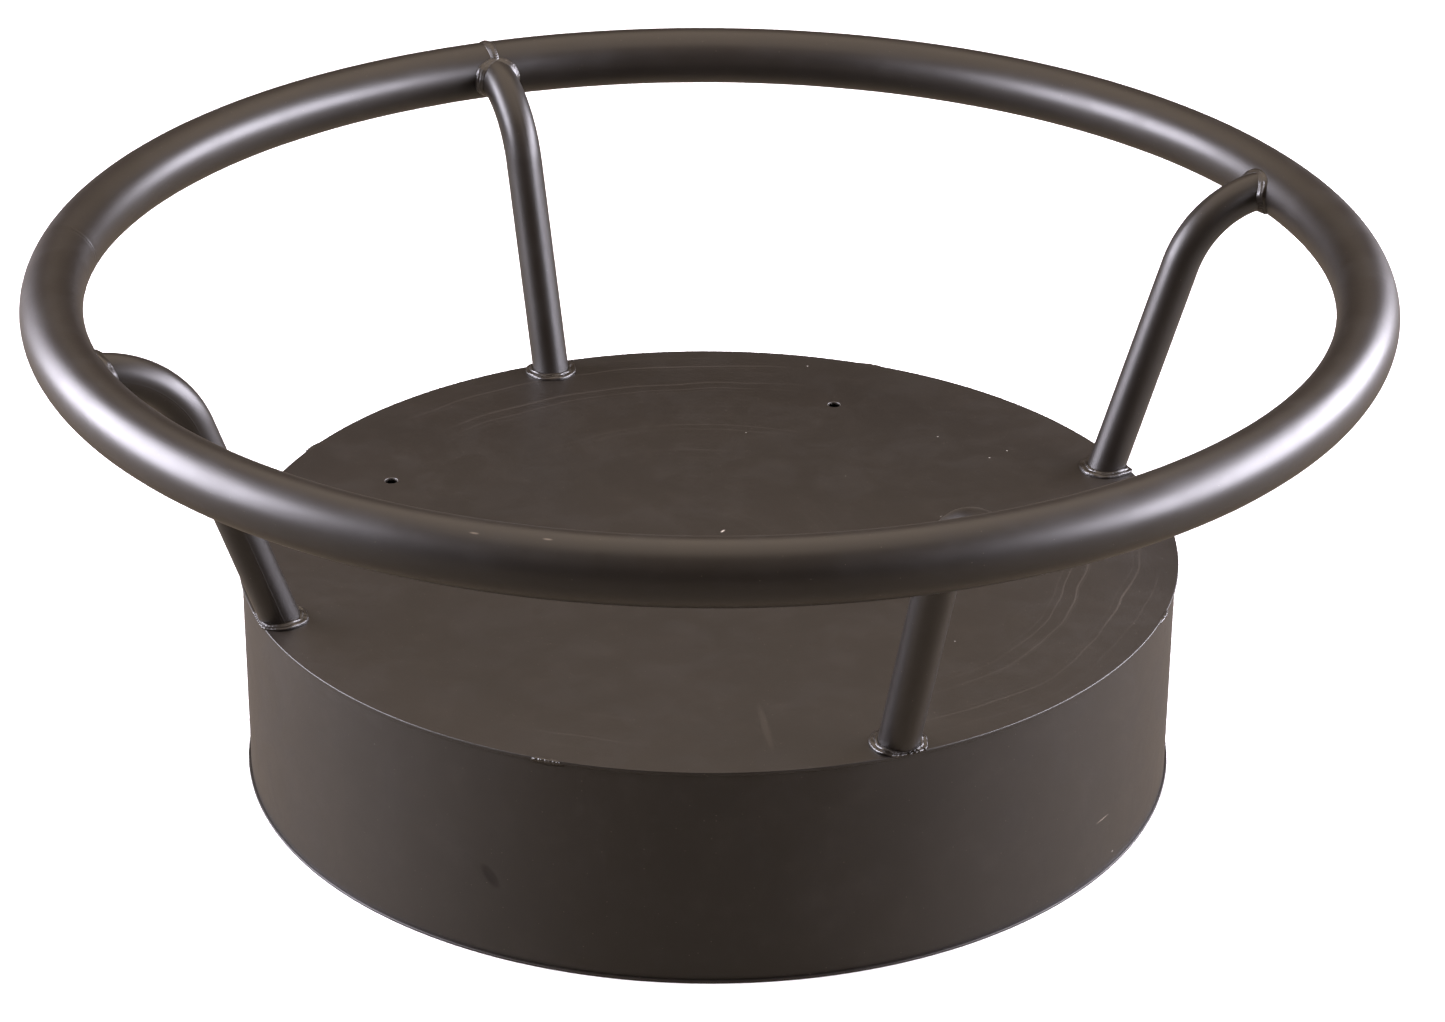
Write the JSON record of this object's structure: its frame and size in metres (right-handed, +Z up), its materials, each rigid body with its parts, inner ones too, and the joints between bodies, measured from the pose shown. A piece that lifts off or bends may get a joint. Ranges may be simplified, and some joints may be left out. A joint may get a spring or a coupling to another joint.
{
  "type": "umbrella stand",
  "caption": "Squat closed steel drum with a wide ring of round tube held above its rim by bent tube posts, welded throughout and painted dark bronze.",
  "frame": {"origin": "centre of the drum's underside, on the floor", "axes": "+Z up; the posts stand on the X and Y axes, and the plate's holes lie towards +Y"},
  "size_m": [1.09, 1.09, 0.4454],
  "materials": {
    "plate_paint": "satin, dark bronze, lightly scuffed",
    "tube_paint": "satin, dark bronze",
    "weld_paint": "satin, dark bronze over rippled weld"
  },
  "bodies": {
    "root": {"base_plate": "plate_paint", "skirt": "plate_paint", "skirt_seam_weld": "weld_paint", "base_stitch_welds": "weld_paint", "top_plate": "plate_paint", "rim_tack_welds": "weld_paint", "post_right": "tube_paint", "post_back": "tube_paint", "post_left": "tube_paint", "post_front": "tube_paint", "foot_weld_right": "weld_paint", "foot_weld_back": "weld_paint", "foot_weld_left": "weld_paint", "foot_weld_front": "weld_paint", "head_weld_right": "weld_paint", "head_weld_back": "weld_paint", "head_weld_left": "weld_paint", "head_weld_front": "weld_paint", "ring": "tube_paint", "ring_butt_weld": "weld_paint"}
  },
  "joints": []
}
